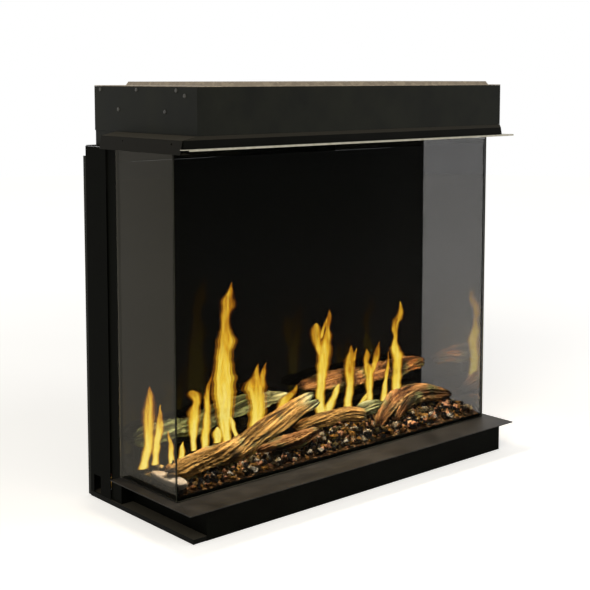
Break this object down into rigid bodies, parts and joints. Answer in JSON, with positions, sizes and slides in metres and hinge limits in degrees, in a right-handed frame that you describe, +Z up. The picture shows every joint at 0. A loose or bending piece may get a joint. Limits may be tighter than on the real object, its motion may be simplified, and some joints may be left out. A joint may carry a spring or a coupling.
{
  "type": "three-sided gas fireplace",
  "caption": "Three-sided direct-vent gas fireplace: steel case, front and side glass panes, driftwood logs on crushed glass embers, gas controls in the base and a vented header.",
  "frame": {"origin": "middle of the base's underside, on the floor", "axes": "+Z up, +X to the right seen from the front, +Y to the back, towards the wall"},
  "size_m": [1.01, 0.4514, 0.9305],
  "materials": {
    "black_paint": "satin black powder coat",
    "trim_paint": "satin charcoal powder coat",
    "firebox_paint": "matt heat-resistant black",
    "bare_sheet": "galvanised sheet, dull",
    "clear_glass": "clear ceramic glass, polished",
    "black_glass": "black enamelled glass, polished",
    "brass": "machined",
    "alloy": "die cast",
    "tube": "drawn, satin",
    "black_knob": "moulded",
    "red_knob": "moulded",
    "seal": "braided glass tape",
    "white_ceramic": "smooth",
    "zinc": "zinc plated",
    "log_tan": "painted ceramic fibre, driftwood tan",
    "log_grey": "painted ceramic fibre, driftwood grey-green",
    "log_brown": "painted ceramic fibre, driftwood red-brown",
    "embers": "crushed bronze and black glass"
  },
  "bodies": {
    "case": {"base_tray": "black_paint", "left_foot_rail": "trim_paint", "lower_trim_front": "trim_paint", "lower_trim_left": "trim_paint", "lower_trim_right": "trim_paint", "firebox_floor": "firebox_paint", "burner_tray": "firebox_paint", "burner_feed_tube": "tube", "valve_bracket": "bare_sheet", "gas_valve_body": "alloy", "igniter_body": "black_knob", "shutoff_valve_body": "brass", "gas_supply_tube": "tube", "burner_gas_tube": "tube", "pilot_burner": "bare_sheet", "spark_electrode": "white_ceramic", "pilot_gas_tube": "tube", "glass_post_left": "black_paint", "glass_post_right": "black_paint", "left_column_side": "black_paint", "right_column_side": "black_paint", "column_top_plate": "black_paint", "rear_cover": "black_paint", "exhaust_box": "bare_sheet", "flue_collar_inner": "bare_sheet", "flue_collar_outer": "bare_sheet", "firebox_back": "firebox_paint", "rear_liner": "black_glass", "firebox_ceiling": "firebox_paint", "top_frame": "black_paint", "glass_seal": "seal", "upper_skirt_front": "trim_paint", "upper_skirt_left": "trim_paint", "upper_skirt_right": "trim_paint", "upper_trim_lip": "trim_paint", "header_wrap": "black_paint", "header_rear": "black_paint", "top_vent_plate": "bare_sheet", "log_front_fork": "log_tan", "log_small_split": "log_brown", "log_rear_left": "log_grey", "log_rear_right": "log_brown", "log_middle": "log_tan", "log_right": "log_brown", "log_stub": "log_grey", "rear_log_shelf": "firebox_paint", "ember_bed": "embers"},
    "access_panel": {"front_access_panel": "black_paint"},
    "front_pane": {"front_glass": "clear_glass"},
    "left_pane": {"left_glass": "clear_glass"},
    "right_pane": {"right_glass": "clear_glass"},
    "latch_left": {"glass_latch_left": "zinc"},
    "latch_right": {"glass_latch_right": "zinc"},
    "flap_left": {"relief_flap_left": "bare_sheet"},
    "flap_right": {"relief_flap_right": "bare_sheet"},
    "control_knob": {"gas_control_knob": "black_knob"},
    "height_knob": {"flame_height_knob": "black_knob"},
    "spark_button": {"igniter_button": "red_knob"},
    "shutoff": {"shutoff_lever": "red_knob"},
    "shutter": {"air_shutter": "alloy"}
  },
  "joints": [
    {"name": "access_panel_pull", "type": "slide", "parent": "case", "child": "access_panel", "axis": [0, -1, 0], "range_m": [0, 0.1]},
    {"name": "front_glass_out", "type": "slide", "parent": "case", "child": "front_pane", "axis": [0, -1, 0], "range_m": [0, 0.25]},
    {"name": "left_glass_out", "type": "slide", "parent": "case", "child": "left_pane", "axis": [-1, 0, 0], "range_m": [0, 0.2]},
    {"name": "right_glass_out", "type": "slide", "parent": "case", "child": "right_pane", "axis": [1, 0, 0], "range_m": [0, 0.2]},
    {"name": "left_latch_turn", "type": "hinge", "parent": "case", "child": "latch_left", "pos_m": [-0.3, -0.139, 0.812], "axis": [0, 1, 0], "range_deg": [0, 90]},
    {"name": "right_latch_turn", "type": "hinge", "parent": "case", "child": "latch_right", "pos_m": [0.3, -0.139, 0.812], "axis": [0, -1, 0], "range_deg": [0, 90]},
    {"name": "left_flap_lift", "type": "hinge", "parent": "case", "child": "flap_left", "pos_m": [-0.25, -0.0022, 0.7965], "axis": [-1, 0, 0], "range_deg": [0, 40]},
    {"name": "right_flap_lift", "type": "hinge", "parent": "case", "child": "flap_right", "pos_m": [0.25, -0.0022, 0.7965], "axis": [-1, 0, 0], "range_deg": [0, 40]},
    {"name": "control_knob_turn", "type": "hinge", "parent": "case", "child": "control_knob", "pos_m": [-0.365, -0.1515, 0.03], "axis": [0, -1, 0], "range_deg": [0, 180]},
    {"name": "height_knob_turn", "type": "hinge", "parent": "case", "child": "height_knob", "pos_m": [-0.33, -0.1515, 0.03], "axis": [0, -1, 0], "range_deg": [0, 120]},
    {"name": "igniter_press", "type": "slide", "parent": "case", "child": "spark_button", "axis": [0, 1, 0], "range_m": [0, 0.005], "stiffness_N_per_m": 400},
    {"name": "shutoff_turn", "type": "hinge", "parent": "case", "child": "shutoff", "pos_m": [-0.4405, 0.1618, 0.0438], "axis": [0, 0, -1], "range_deg": [0, 90]},
    {"name": "air_shutter_turn", "type": "hinge", "parent": "case", "child": "shutter", "pos_m": [-0.205, 0.0134, 0.04], "axis": [1, 0, 0], "range_deg": [0, 60]}
  ]
}
